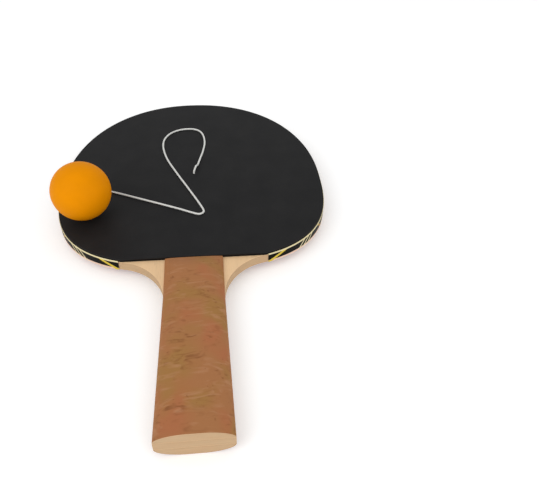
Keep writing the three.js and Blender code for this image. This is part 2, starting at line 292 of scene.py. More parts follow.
def draw_head(bm, sizes, growth):
    """The head's outline as a loop of edges at height 0."""
    bmesh.ops.create_circle(bm, segments=RIM_SIDES, radius=1)
    for vert in bm.verts:
        vert.co = head_point(sizes, vert.co.x, vert.co.y, growth)


def draw_open_rim(bm, sizes, growth):
    """The head's outline down to the rubbers' lower edge, left open there."""
    draw_head(bm, sizes, growth)
    cut_off(bm, (0, RUBBER_END_Y, 0), (0, -1, 0))


def draw_rubber(bm, sizes, growth):
    draw_open_rim(bm, sizes, growth)
    bm.edges.new([v for v in bm.verts if len(v.link_edges) == 1])


def find_neck_hollow(sizes):
    """Centre of the hollow that touches the handle's side and the head, and where it touches the head."""
    turns = [pi / 2 * i / TANGENT_TRIALS for i in range(TANGENT_TRIALS)]
    foot = [head_point(sizes, cos(turn), -sin(turn), 0) for turn in turns]
    centre = Vector((sizes.neck_width / 2 + sizes.neck_radius, RUBBER_END_Y, 0))
    near, far = RUBBER_END_Y, BUTT_Y
    for _ in range(HALVINGS):
        centre.y = (near + far) / 2
        touch = min(foot, key=lambda point: (point - centre).length)
        if (touch - centre).length < sizes.neck_radius:
            near = centre.y
        else:
            far = centre.y
    return centre, touch


def draw_blade(bm, sizes):
    """The blade's outline: the head, a hollow on each side of the neck, and the handle."""
    draw_head(bm, sizes, 0)
    centre, touch = find_neck_hollow(sizes)
    cut_off(bm, (0, touch.y, 0), (0, -1, 0))
    cut_off(bm, (0, 0, 0), (-1, 0, 0))
    end = min(bm.verts, key=lambda vert: vert.co.y)
    end.co = touch
    turn = (end.co - centre).angle(Vector((-1, 0, 0)))
    hollow = bmesh.ops.spin(
        bm, geom=[end], cent=centre, axis=(0, 0, 1), angle=turn, steps=FILLET_STEPS, use_merge=False
    )
    end = next(item for item in hollow["geom_last"] if isinstance(item, bmesh.types.BMVert))
    for corner in ((BUTT_WIDTH / 2, BUTT_Y, 0), (0, BUTT_Y, 0)):
        end = bmesh.ops.extrude_vert_indiv(bm, verts=[end])["verts"][0]
        end.co = corner
    half = bm.verts[:] + bm.edges[:]
    bmesh.ops.mirror(bm, geom=half, matrix=Matrix.Identity(4), merge_dist=MERGE_DISTANCE, axis="X")


# Solids


def pulled(bm, edges, vector):
    """Extrudes a loop of edges by a vector, and returns the new loop."""
    made = bmesh.ops.extrude_edge_only(bm, edges=edges)["geom"]
    verts = {item for item in made if isinstance(item, bmesh.types.BMVert)}
    bmesh.ops.translate(bm, verts=list(verts), vec=vector)
    return [item for item in made if isinstance(item, bmesh.types.BMEdge) and set(item.verts) <= verts]


def close_loops(bm, *loops):
    """Closes a loop with one face, or with triangles round the second loop, which stays open."""
    if len(loops) == 1:
        bmesh.ops.contextual_create(bm, geom=loops[0])
    else:
        edges = [edge for loop in loops for edge in loop]
        bmesh.ops.triangle_fill(bm, edges=edges, use_beauty=True, normal=(0, 0, 1))


def thicken_outline(bm, low, high, hole=None):
    """Makes a sheet between two levels from the outline. A hole has a centre, a radius and a bottom."""
    bmesh.ops.translate(bm, verts=bm.verts, vec=(0, 0, high))
    rim = bm.edges[:]
    low_rim = pulled(bm, rim, (0, 0, low - high))
    if hole is None:
        close_loops(bm, rim)
        close_loops(bm, low_rim)
        return
    centre, radius, bottom = hole
    place = Matrix.Translation((centre.x, centre.y, high))
    circle = bmesh.ops.create_circle(bm, segments=HOLE_SIDES, radius=radius, matrix=place)["verts"]
    mouth = [edge for edge in bm.edges if edge.verts[0] in circle and edge.verts[1] in circle]
    close_loops(bm, rim, mouth)
    floor = pulled(bm, mouth, (0, 0, max(low, bottom) - high))
    if bottom <= low:
        close_loops(bm, low_rim, floor)
    else:
        close_loops(bm, low_rim)
        close_loops(bm, floor)


def round_edges(bm, edges, radius):
    """Rounds edges, after turning every face outwards so that the rounding stays inside the sharp shape."""
    bmesh.ops.recalc_face_normals(bm, faces=bm.faces)
    bmesh.ops.bevel(
        bm,
        geom=edges,
        offset=radius,
        offset_type="OFFSET",
        affect="EDGES",
        segments=ROUNDING_STEPS,
        profile=0.5,
        material=-1,
        clamp_overlap=True,
    )


def crisp_edges(bm, angle=50):
    return [edge for edge in bm.edges if edge.is_manifold and edge.calc_face_angle(0) > radians(angle)]


def finish_piece(name, bm, node, materials, smooth_below=24, even_faces=True):
    """Turns a bmesh into a smoothly shaded piece with its materials, and hides the CAD node that the piece
    stands for.
    """
    bmesh.ops.recalc_face_normals(bm, faces=bm.faces)
    mesh = bpy.data.meshes.new(name)
    bm.to_mesh(mesh)
    bm.free()
    mesh.shade_smooth()
    mesh.set_sharp_from_angle(angle=radians(smooth_below))
    for material in materials:
        mesh.materials.append(material)
    piece = bpy.data.objects.new(name, mesh)
    bpy.context.scene.collection.objects.link(piece)
    if even_faces:
        piece.modifiers.new("Even faces", "WEIGHTED_NORMAL").keep_sharp = True
    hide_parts(node)
    return piece


def levels(node):
    low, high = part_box(node)
    return low.z, high.z


# Materials


def add(tree, kind, sockets=None, **settings):
    """Adds a shader node with its settings. Each socket, by its name or number, gets a value, or a link from
    a socket or from a node's first output."""
    node = tree.nodes.new("ShaderNode" + kind)
    for name, value in settings.items():
        setattr(node, name, value)
    for name, value in (sockets or {}).items():
        if isinstance(name, int):
            socket = node.inputs[name]
        else:
            socket = next(item for item in node.inputs if item.name == name and item.enabled)
        if isinstance(value, bpy.types.Node):
            value = next(item for item in value.outputs if item.enabled)
        if isinstance(value, bpy.types.NodeSocket):
            tree.links.new(value, socket)
        else:
            socket.default_value = value
    return node


def new_material(name):
    """A material with its node tree, emptied down to the output."""
    material = bpy.data.materials.new(name)
    material.use_nodes = True
    material.node_tree.nodes.clear()
    return material, material.node_tree


def close_material(tree, base, bump, distance, strength=1.0, **sockets):
    """Ends a tree in a principled shader with a colour, a height for its bump, and constant sockets."""
    normal = add(tree, "Bump", {"Height": bump, "Distance": distance, "Strength": strength})
    values = {"Base Color": base, "Normal": normal}
    values.update({name.replace("_", " "): value for name, value in sockets.items()})
    add(tree, "OutputMaterial", {"Surface": add(tree, "BsdfPrincipled", values)})


def rgba(values):
    return (*values, 1.0)


def piece_place(tree, across, along=None, up=None, source="Object"):
    """Coordinates whose unit is a number of millimetres each way. One that is not given is as the first."""
    sizes = [(size or across) * MM for size in (across, along, up)]
    place = add(tree, "TexCoord").outputs[source]
    return add(tree, "Mapping", {"Vector": place, "Scale": [1 / size for size in sizes]})


def smooth_rubber(name, tint):
    """Natural rubber pressed between polished plates: flat, dull, with a breath of dust and a fine skin."""
    material, tree = new_material(name)
    cloud = add(tree, "TexNoise", {"Vector": piece_place(tree, 14), "Scale": 1.0, "Detail": 3.0})
    dust = add(tree, "TexNoise", {"Vector": piece_place(tree, 0.5), "Scale": 1.0, "Detail": 2.0})
    skin = add(tree, "TexNoise", {"Vector": piece_place(tree, 0.35), "Scale": 1.0, "Detail": 3.0})
    speck = add(tree, "MapRange", {"Value": dust, "From Min": 0.62, "From Max": 0.8, "To Max": 0.02})
    haze = add(tree, "MapRange", {"Value": cloud, "From Min": 0.3, "From Max": 0.7, "To Max": 0.008})
    veil = add(tree, "Math", {0: speck, 1: haze}, operation="ADD")
    pale = rgba(linear("#B9B6B2"))
    base = add(tree, "Mix", {"Factor": veil, "A": rgba(tint), "B": pale}, data_type="RGBA")
    close_material(tree, base, skin, 0.01 * MM, 0.4, Roughness=0.6, Specular_IOR_Level=0.12, IOR=1.52)
    return material


def foam(name, tint):
    """Rubber foam cut with a blade: dull, with open pores about 0.3 mm wide along its edge, each pore
    darkened with painted shade.
    """
    material, tree = new_material(name)
    pores = add(tree, "TexVoronoi", {"Vector": piece_place(tree, 0.3), "Scale": 1.0, "Randomness": 1.0})
    hollow = add(tree, "MapRange", {"Value": pores, "From Min": 0.1, "From Max": 0.55})
    # Painted shade: the hollow of each pore is mixed towards a darker copy of the tint, as if shade fell
    # inside it.
    dark = rgba([0.55 * value for value in tint])
    base = add(tree, "Mix", {"Factor": hollow, "A": dark, "B": rgba(tint)}, data_type="RGBA")
    close_material(tree, base, hollow, 0.08 * MM, 0.7, Roughness=0.95, Specular_IOR_Level=0.15)
    return material


def planed_wood(name, tint, contrast):
    """Sanded light wood with its grain along the blade: faint bands, and pores as short fine dashes."""
    material, tree = new_material(name)
    bands = add(tree, "TexNoise", {"Vector": piece_place(tree, 3, 90, 3), "Scale": 1.0, "Detail": 3.0})
    pores = add(tree, "TexNoise", {"Vector": piece_place(tree, 0.35, 5, 0.35), "Scale": 1.0, "Detail": 2.0})
    tone = add(tree, "MapRange", {"Value": bands, "From Min": 0.32, "From Max": 0.68})
    dash = add(tree, "MapRange", {"Value": pores, "From Min": 0.58, "From Max": 0.74, "To Max": 0.35})
    deep = rgba([value * (1 - contrast) for value in tint])
    dark = rgba([value * 0.62 for value in tint])
    banded = add(tree, "Mix", {"Factor": tone, "A": deep, "B": rgba(tint)}, data_type="RGBA")
    base = add(tree, "Mix", {"Factor": dash, "A": banded, "B": dark}, data_type="RGBA")
    close_material(tree, base, pores, 0.03 * MM, 0.5, Roughness=0.62, IOR=1.5, Specular_IOR_Level=0.35)
    return material


def sawn_wood(name, tint):
    """Sawn and sanded edge of the plies and scales: pale and dry, with faint level streaks of saw and ply."""
    material, tree = new_material(name)
    streaks = add(tree, "TexNoise", {"Vector": piece_place(tree, 9, 9, 0.55), "Scale": 1.0, "Detail": 4.0})
    patches = add(tree, "TexNoise", {"Vector": piece_place(tree, 8, 8, 5), "Scale": 1.0, "Detail": 2.0})
    tone = add(tree, "MapRange", {"Value": streaks, "From Min": 0.3, "From Max": 0.7})
    warm = add(tree, "MapRange", {"Value": patches, "From Min": 0.35, "From Max": 0.65, "To Max": 0.45})
    deep = rgba([value * 0.9 for value in tint])
    rosy = rgba([tint[0] * 0.97, tint[1] * 0.9, tint[2] * 0.86])
    streaked = add(tree, "Mix", {"Factor": tone, "A": deep, "B": rgba(tint)}, data_type="RGBA")
    base = add(tree, "Mix", {"Factor": warm, "A": streaked, "B": rosy}, data_type="RGBA")
    close_material(tree, base, streaks, 0.05 * MM, 0.5, Roughness=0.75, IOR=1.5, Specular_IOR_Level=0.3)
    return material


def burr_veneer(name, colours, shift):
    """Brown burr veneer, sanded and waxed: soft olive and redder patches, short dark and pale figure that
    runs across the handle in clusters, a few small knots, and a fine silky fibre."""
    material, tree = new_material(name)
    skin = add(tree, "TexCoord").outputs["UV"]
    place = add(tree, "Mapping", {"Vector": skin, "Location": (shift, shift, 0)})
    olive, red, dark = colours.veneer_olive, colours.veneer_red, colours.veneer_dark
    # Each pattern's grain across and along the handle in millimetres, its detail and distortion, the levels
    # at which it starts and is full, how much it covers, and its colour. The first one is where figure lies.
    patterns = (
        (9, 14, 1.5, 0.0, 0.42, 0.62, 0.68, None),
        (19, 17, 1.5, 0.0, 0.46, 0.62, 0.9, olive),
        (14, 21, 1.5, 0.0, 0.5, 0.66, 0.9, red),
        (6.2, 3.0, 2.5, 1.6, 0.52, 0.72, None, dark),
        (11, 3.6, 2.0, 1.2, 0.55, 0.72, 0.55, linear("#B78560")),
        (2.6, 1.9, 1.0, 0.8, 0.7, 0.78, 0.6, dark),
        (2.4, 0.22, 2.0, 0.0, 0.45, 0.75, 0.07, dark),
    )
    ground, clusters = rgba(colours.veneer_brown), None
    for across, along, detail, distortion, start, full, most, tint in patterns:
        size = (1 / (across * MM), 1 / (along * MM), 1)
        scaled = add(tree, "Mapping", {"Vector": place, "Scale": size})
        sockets = {"Vector": scaled, "Scale": 1.0, "Detail": detail, "Distortion": distortion}
        grain = add(tree, "TexNoise", sockets)
        reach = {"Value": grain, "From Min": start, "From Max": full, "To Max": most or clusters}
        share = add(tree, "MapRange", reach)
        if tint is None:
            clusters = share
        else:
            ground = add(tree, "Mix", {"Factor": share, "A": ground, "B": rgba(tint)}, data_type="RGBA")
    close_material(tree, ground, grain, 0.03 * MM, 0.5, Roughness=0.6, IOR=1.5, Specular_IOR_Level=0.18)
    return material


def printed_tape(name, colours, height):
    """Printed cloth edge tape with a dull film: black, a pale line along each border, and plain slanted bars
    near both ends. Its map runs in metres, from the nearer end of the tape and from its lower border."""
    material, tree = new_material(name)
    place = add(tree, "SeparateXYZ", {"Vector": add(tree, "TexCoord").outputs["UV"]})
    along, up = place.outputs["X"], place.outputs["Y"]
    weave = piece_place(tree, 0.4, source="UV")
    cloth = add(tree, "TexNoise", {"Vector": weave, "Scale": 1.0, "Detail": 2.0})
    worn = add(tree, "MapRange", {"Value": cloth, "From Min": 0.35, "From Max": 0.8, "To Max": 0.006})
    lower_line = add(tree, "Math", {0: up, 1: 1.15 * MM}, operation="LESS_THAN")
    upper_line = add(tree, "Math", {0: up, 1: height - 0.85 * MM}, operation="GREATER_THAN")
    cream = colours.tape_cream
    # Where each bar leaves the lower border, its reach along the tape to the upper one, and its height.
    bars = (
        (19, 5, 1.1, cream),
        (22.5, 5, 1.1, cream),
        (26, 5, 1.1, cream),
        (44, -7, 1.4, linear("#A8823A")),
        (45, 8, 1.2, cream),
        (0, 11, 1.6, colours.tape_yellow),
    )
    prints = [(worn, cream), (lower_line, linear("#EFCDB8"))]
    for start, reach, ink, tint in bars:
        away = add(tree, "Math", {0: along, 1: start * MM}, operation="SUBTRACT")
        rise = add(tree, "Math", {0: away, 1: height / (reach * MM)}, operation="MULTIPLY")
        prints.append((add(tree, "Math", {0: up, 1: rise, 2: ink * MM / 2}, operation="COMPARE"), tint))
    prints.append((upper_line, cream))
    ground = rgba(colours.tape_black)
    for cover, tint in prints:
        ground = add(tree, "Mix", {"Factor": cover, "A": ground, "B": rgba(tint)}, data_type="RGBA")
    close_material(tree, ground, cloth, 0.02 * MM, 0.5, Roughness=0.45, IOR=1.5, Specular_IOR_Level=0.06)
    return material


def sanded_plastic(name, tint):
    """Celluloid rolled to a ball and sanded dull: even orange with a soft, broad sheen and a fine grit."""
    material, tree = new_material(name)
    grit = add(tree, "TexNoise", {"Vector": piece_place(tree, 0.3), "Scale": 1.0, "Detail": 3.0})
    cloud = add(tree, "TexNoise", {"Vector": piece_place(tree, 9), "Scale": 1.0, "Detail": 2.0})
    tone = add(tree, "MapRange", {"Value": cloud, "From Min": 0.35, "From Max": 0.65})
    light = rgba([min(1.0, value * 1.05) for value in tint])
    base = add(tree, "Mix", {"Factor": tone, "A": rgba(tint), "B": light}, data_type="RGBA")
    close_material(tree, base, grit, 0.012 * MM, 0.5, Roughness=0.55, IOR=1.5, Specular_IOR_Level=0.04)
    return material


def braided_elastic(name, colours):
    """Cotton-covered elastic: soft off-white strands that cross, with shade in the grooves between them."""
    material, tree = new_material(name)
    groove = add(tree, "Attribute", attribute_name="groove").outputs["Fac"]
    fuzz = add(tree, "TexNoise", {"Vector": piece_place(tree, 0.2), "Scale": 1.0, "Detail": 2.0})
    white, grey = rgba(colours.elastic_white), rgba(colours.elastic_groove)
    strands = add(tree, "Mix", {"Factor": groove, "A": white, "B": grey}, data_type="RGBA")
    lint = add(tree, "MapRange", {"Value": fuzz, "From Min": 0.4, "From Max": 0.8, "To Max": 0.3})
    base = add(tree, "Mix", {"Factor": lint, "A": strands, "B": grey}, data_type="RGBA")
    close_material(tree, base, fuzz, 0.03 * MM, 0.5, Roughness=0.85, Specular_IOR_Level=0.2)
    return material


def studio_floor(name, tint):
    """Matt painted board, seen a little lighter than it is so that it ends in white. It keeps its shadows."""
    material, tree = new_material(name)
    grain = add(tree, "TexNoise", {"Vector": piece_place(tree, 60), "Scale": 1.0, "Detail": 2.0})
    off = rgba([value * 0.985 for value in tint])
    base = add(tree, "Mix", {"Factor": grain, "A": rgba(tint), "B": off}, data_type="RGBA")
    paint = add(tree, "BsdfDiffuse", {"Color": base})
    rays = add(tree, "LightPath").outputs
    seen = add(tree, "Math", {0: rays["Is Camera Ray"], 1: rays["Is Glossy Ray"]}, operation="MAXIMUM")
    lift = add(tree, "Math", {0: seen, 1: FLOOR_LIFT}, operation="MULTIPLY")
    glow = add(tree, "Emission", {"Strength": lift})
    add(tree, "OutputMaterial", {"Surface": add(tree, "AddShader", {0: paint, 1: glow})})
    return material


def studio_sky(strength):
    """Even light all round. What the camera sees of it directly is white."""
    world = bpy.data.worlds.new("studio_sky")
    bpy.context.scene.world = world
    world.use_nodes = True
    tree = world.node_tree
    tree.nodes.clear()
    seen = add(tree, "LightPath").outputs["Is Camera Ray"]
    level = add(tree, "MapRange", {"Value": seen, "To Min": strength, "To Max": 1.0})
    background = add(tree, "Background", {"Color": (1, 1, 1, 1), "Strength": level})
    add(tree, "OutputWorld", {"Surface": background})


# Operators


def mark_sawn_faces(bm, is_sawn):
    """Gives sawn faces the second material."""
    bm.normal_update()
    for face in bm.faces:
        face.material_index = 1 if is_sawn(face) else 0


def stands(face):
    return abs(face.normal.z) < STEEP


def faces_along(face):
    return abs(face.normal.y) > FACING_ALONG


class PADDLE_OT_stage(bpy.types.Operator):
    """Set up the floor, the soft light and the camera"""

    bl_idname = "paddle.stage"
    bl_label = "Stage"

    def execute(self, context):
        studio = context.scene.paddle_studio
        colours = context.scene.paddle_colours
        scene = context.scene
        scene.view_settings.view_transform = "Standard"
        bm = bmesh.new()
        bmesh.ops.create_grid(bm, x_segments=4, y_segments=4, size=1.6)
        mesh = bpy.data.meshes.new("studio_floor")
        bm.to_mesh(mesh)
        bm.free()
        mesh.materials.append(studio_floor("matt_floor_paint", colours.floor_white))
        floor = bpy.data.objects.new("studio_floor", mesh)
        scene.collection.objects.link(floor)
        studio_sky(studio.sky)
        self.add_softbox(scene, "key_softbox", studio.key, (-0.8, -0.7, 0.9))
        self.add_softbox(scene, "fill_softbox", studio.fill, (0.7, -0.95, 0.5))
        self.add_camera(scene, studio)
        return {"FINISHED"}

    def add_softbox(self, scene, name, power, place):
        lamp = bpy.data.lights.new(name, "AREA")
        lamp.shape = "DISK"
        lamp.size = 1.1
        lamp.energy = power
        softbox = bpy.data.objects.new(name, lamp)
        softbox.location = place
        softbox.rotation_euler = (-Vector(place)).to_track_quat("-Z", "Y").to_euler()
        scene.collection.objects.link(softbox)

    def add_camera(self, scene, studio):
        data = bpy.data.cameras.new("camera")
        data.lens = studio.camera_lens
        data.sensor_width = 36.0
        data.clip_start = 0.01
        camera = bpy.data.objects.new("camera", data)
        heading = Matrix.Rotation(-studio.camera_azimuth, 4, "Z")
        dip = Matrix.Rotation(pi / 2 - studio.camera_dip, 4, "X")
        roll = Matrix.Rotation(studio.camera_roll, 4, "Z")
        camera.matrix_world = Matrix.Translation(studio.camera_place) @ heading @ dip @ roll
        scene.collection.objects.link(camera)
        scene.camera = camera


class PADDLE_OT_blade(bpy.types.Operator):
    """Cut the five plies of the wooden blade, with the pocket for the cord's knot"""

    bl_idname = "paddle.blade"
    bl_label = "Blade"

    def execute(self, context):
        sizes = context.scene.paddle_sizes
        colours = context.scene.paddle_colours
        face_ply = planed_wood("sanded_limba_ply", colours.limba, 0.07)
        inner_ply = planed_wood("sanded_basswood_ply", colours.basswood, 0.1)
        sawn = sawn_wood("sawn_ply_edge", colours.sawn_wood)
        anchor = Vector((0, anchor_y(sizes), 0))
        pocket_bottom = levels("black_side_outer_ply")[1] - sizes.pocket_depth
        plies = [
            ("red_side_outer_ply", face_ply),
            ("red_side_inner_ply", inner_ply),
            ("core_ply", inner_ply),
            ("black_side_inner_ply", inner_ply),
            ("black_side_outer_ply", face_ply),
        ]
        for node, wood in plies:
            low, high = levels(node)
            bm = bmesh.new()
            draw_blade(bm, sizes)
            hole = (anchor, sizes.pocket_radius, pocket_bottom) if high > pocket_bottom else None
            thicken_outline(bm, low, high, hole)
            rounding = sizes.wood_rounding if wood is face_ply else sizes.wood_rounding / 4
            round_edges(bm, crisp_edges(bm), rounding)
            mark_sawn_faces(bm, stands)
            piece = finish_piece(node + "_sheet", bm, node, [wood, sawn])
            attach(piece, "paddle")
        return {"FINISHED"}


class PADDLE_OT_rubbers(bpy.types.Operator):
    """Cut the sponge and the topsheet of both faces"""

    bl_idname = "paddle.rubbers"
    bl_label = "Rubbers"

    def execute(self, context):
        sizes = context.scene.paddle_sizes
        colours = context.scene.paddle_colours
        anchor = Vector((0, anchor_y(sizes), 0))
        pinhole = (anchor, sizes.pinhole_radius, 0.0)
        layers = [
            ("black_topsheet", smooth_rubber("smooth_black_rubber", colours.black_rubber), 0.0, pinhole),
            ("black_sponge", foam("black_rubber_foam", colours.black_foam), 0.0, pinhole),
            ("red_topsheet", smooth_rubber("smooth_red_rubber", colours.red_rubber), -RED_TRIM, None),
            ("red_sponge", foam("cream_rubber_foam", colours.cream_foam), -RED_TRIM, None),
        ]
        for node, material, growth, hole in layers:
            low, high = levels(node)
            bm = bmesh.new()
            draw_rubber(bm, sizes, growth)
            thicken_outline(bm, low, high, hole)
            rounding = sizes.rubber_rounding if "topsheet" in node else sizes.rubber_rounding / 2
            round_edges(bm, crisp_edges(bm), rounding)
            piece = finish_piece(node + "_layer", bm, node, [material])
            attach(piece, "paddle")
        return {"FINISHED"}


class PADDLE_OT_edge_tape(bpy.types.Operator):
    """Wrap the printed tape round the head's rim"""

    bl_idname = "paddle.edge_tape"
    bl_label = "Edge tape"

    def execute(self, context):
        sizes = context.scene.paddle_sizes
        colours = context.scene.paddle_colours
        low, high = levels("edge_tape")
        bm = bmesh.new()
        draw_open_rim(bm, sizes, TAPE_GROWTH)
        distance = self.measure_from_ends(bm)
        bmesh.ops.translate(bm, verts=bm.verts, vec=(0, 0, low))
        pulled(bm, bm.edges[:], (0, 0, high - low))
        self.lay_map(bm, distance, low)
        bmesh.ops.recalc_face_normals(bm, faces=bm.faces)
        if bm.faces[0].normal.dot(bm.faces[0].calc_center_median() - Vector((0, widest_y(sizes), low))) < 0:
            bmesh.ops.reverse_faces(bm, faces=bm.faces)
        bmesh.ops.solidify(bm, geom=bm.faces[:], thickness=sizes.tape_thickness)
        round_edges(bm, crisp_edges(bm), sizes.tape_thickness / 5)
        material = printed_tape("printed_cloth_tape", colours, high - low)
        piece = finish_piece("edge_tape_band", bm, "edge_tape", [material])
        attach(piece, "paddle")
        return {"FINISHED"}

    def measure_from_ends(self, bm):
        """Distance of each place on the rim from the nearer end of the tape, keyed by its place."""
        vert = min(bm.verts, key=lambda item: (item.co.y, item.co.x))
        walked, travelled, before = [(vert, 0.0)], 0.0, None
        while True:
            edge = next((item for item in vert.link_edges if item is not before), None)
            if edge is None:
                break
            travelled += edge.calc_length()
            vert, before = edge.other_vert(vert), edge
            walked.append((vert, travelled))
        return {item.co.to_2d().freeze(): min(at, travelled - at) for item, at in walked}

    def lay_map(self, bm, distance, low):
        layer = bm.loops.layers.uv.new("tape")
        for face in bm.faces:
            for loop in face.loops:
                place = loop.vert.co
                loop[layer].uv = (distance[place.to_2d().freeze()], place.z - low)


def handle_half_width(sizes, y, neck_y):
    share = min(1.0, max(0.0, (neck_y - y) / (neck_y - BUTT_Y)))
    return (sizes.neck_width * (1 - share) + BUTT_WIDTH * share) / 2


def scale_section(sizes, y):
    """Height and roundness of a scale at a place along the handle: low and square at its ramp's foot."""
    share = sin(min(1.0, max(0.0, (HANDLE_FRONT_Y - y) / sizes.ramp_length)) * pi / 2)
    height = sizes.ramp_foot + (SCALE_HEIGHT - sizes.ramp_foot) * share
    return height, sizes.ramp_roundness + (1 - sizes.ramp_roundness) * share


def crown(sizes, across):
    """Section of a scale's crown, from -1 to 1 across it: share of the half width and of the height."""
    flat = sizes.crown_flat / 2
    if abs(across) <= flat:
        return across / flat * sizes.crown_flat, 1.0
    turn = pi / 2 * (1 - (abs(across) - flat) / (1 - flat))
    width = sizes.crown_flat + (1 - sizes.crown_flat) * rounded(cos(turn), sizes.crown_power)
    return copysign(width, across), rounded(sin(turn), sizes.crown_power)


def handle_slab(bm, sizes, base, side, inner, outer):
    """Shapes a flat slab into a crowned layer of the handle between two insets from its skin. An inner inset
    of None makes it solid down to the base. Side is 1 above the blade and -1 below it."""
    bmesh.ops.create_grid(bm, x_segments=CROWN_STEPS, y_segments=HANDLE_ROWS, size=1.0)
    layer = bm.loops.layers.uv.new("skin")
    top = bmesh.ops.extrude_face_region(bm, geom=bm.faces[:])["geom"]
    raised = [item for item in top if isinstance(item, bmesh.types.BMVert)]
    bmesh.ops.translate(bm, verts=raised, vec=(0, 0, 1))
    neck_y = find_neck_hollow(sizes)[0].y
    ramp_y = HANDLE_FRONT_Y - sizes.ramp_length
    places = {}
    for vert in bm.verts:
        across, row, is_outer = vert.co.x, vert.co.y, vert.co.z > 0.5
        y = ramp_y + (HANDLE_FRONT_Y - ramp_y) * row if row > 0 else ramp_y + (ramp_y - BUTT_Y) * row
        inset = outer if is_outer else inner
        width, rise = crown(sizes, across)
        half = handle_half_width(sizes, y, neck_y)
        height = 0.0
        if inset is not None:
            full, roundness = scale_section(sizes, y)
            height = rise**roundness * (full - inset)
        x = width * (half - (outer if inset is None else inset))
        places[vert] = (Vector((x, y, base + side * height)), Vector((across * half * CROWN_STRETCH, y)))
    for face in bm.faces:
        for loop in face.loops:
            loop[layer].uv = places[loop.vert][1]
    for vert, (place, _) in places.items():
        vert.co = place
    bmesh.ops.remove_doubles(bm, verts=bm.verts, dist=MERGE_DISTANCE)


class PADDLE_OT_handle(bpy.types.Operator):
    """Shape the handle's wooden scales and their veneers"""

    bl_idname = "paddle.handle"
    bl_label = "Handle"

    def execute(self, context):
        sizes = context.scene.paddle_sizes
        colours = context.scene.paddle_colours
        sawn = sawn_wood("sawn_handle_end", colours.sawn_wood)
        core = planed_wood("sanded_basswood_scale", colours.basswood, 0.1)
        for side, place, shift in ((1, "upper", 0.0), (-1, "lower", 0.37)):
            veneer = burr_veneer(place + "_burr_veneer", colours, shift)
            low, high = levels(place + "_scale_veneer")
            base = low if side > 0 else high
            for node, inner, outer, wood in (
                (place + "_handle_scale", None, sizes.veneer + sizes.veneer_glue, core),
                (place + "_scale_veneer", sizes.veneer, 0.0, veneer),
            ):
                bm = bmesh.new()
                handle_slab(bm, sizes, base, side, inner, outer)
                bmesh.ops.recalc_face_normals(bm, faces=bm.faces)
                mark_sawn_faces(bm, faces_along)
                if outer == 0.0:
                    round_edges(bm, self.outer_end_edges(bm, base), sizes.butt_rounding)
                piece = finish_piece(node + "_wood", bm, node, [wood, sawn])
                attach(piece, "paddle")
        return {"FINISHED"}

    def outer_end_edges(self, bm, base):
        """The sharp edges round the skin at the butt."""
        found = []
        for edge in crisp_edges(bm):
            at_butt = all(vert.co.y < BUTT_Y + MM / 100 for vert in edge.verts)
            one_sawn = sum(face.material_index for face in edge.link_faces) == 1
            skin = next((face for face in edge.link_faces if face.material_index == 0), None)
            if at_butt and one_sawn:
                outwards = skin.calc_center_median() - Vector((0, BUTT_Y, base))
                if skin.normal.dot(outwards) > 0:
                    found.append(edge)
        return found


def ball_centre(sizes, tether):
    x, y = tether.ball_place
    return Vector((x, widest_y(sizes) + y, BLACK_FACE_Z + tether.lie_gap + tether.ball_diameter / 2))


def hole_axis(tether):
    """Out of the ball through the cord's hole."""
    return Vector((0, cos(tether.hole_below), -sin(tether.hole_below)))


class PADDLE_OT_ball(bpy.types.Operator):
    """Spin the two halves of the hollow ball"""

    bl_idname = "paddle.ball"
    bl_label = "Ball"

    def execute(self, context):
        sizes = context.scene.paddle_sizes
        tether = context.scene.paddle_tether
        material = sanded_plastic("sanded_orange_celluloid", context.scene.paddle_colours.ball_orange)
        halves = (
            ("ball_plain_half", 0.0, -hole_axis(tether)),
            ("ball_holed_half", sizes.pinhole_radius, hole_axis(tether)),
        )
        for node, hole_radius, pole in halves:
            bm = bmesh.new()
            self.spin_half(bm, tether, hole_radius)
            turn = Vector((0, 0, 1)).rotation_difference(pole).to_matrix().to_4x4()
            place = Matrix.Translation(ball_centre(sizes, tether)) @ turn
            bmesh.ops.transform(bm, matrix=place, verts=bm.verts)
            piece = finish_piece(node + "_shell", bm, node, [material], 35, even_faces=False)
            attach(piece, "ball")
        return {"FINISHED"}

    def spin_half(self, bm, tether, hole_radius):
        """Half a shell with its pole on +Z. Both faces of its wall are arcs, turned about Z together."""
        ends = []
        for radius in (tether.ball_diameter / 2, tether.ball_diameter / 2 - tether.ball_wall):
            start = asin(hole_radius / radius)
            stop = pi / 2 - asin(tether.weld_gap / 2 / radius)
            first = bm.verts.new((radius * sin(start), 0, radius * cos(start)))
            arc = bmesh.ops.spin(
                bm, geom=[first], cent=(0, 0, 0), axis=(0, 1, 0), angle=stop - start, steps=BALL_ARC_STEPS
            )
            last = next(item for item in arc["geom_last"] if isinstance(item, bmesh.types.BMVert))
            ends.append((first, last))
        bm.edges.new((ends[0][1], ends[1][1]))
        if hole_radius:
            bm.edges.new((ends[0][0], ends[1][0]))
        bmesh.ops.spin(
            bm,
            geom=bm.verts[:] + bm.edges[:],
            cent=(0, 0, 0),
            axis=(0, 0, 1),
            angle=2 * pi,
            steps=BALL_TURN_STEPS,
            use_merge=True,
        )
        bmesh.ops.remove_doubles(bm, verts=bm.verts, dist=MERGE_DISTANCE)


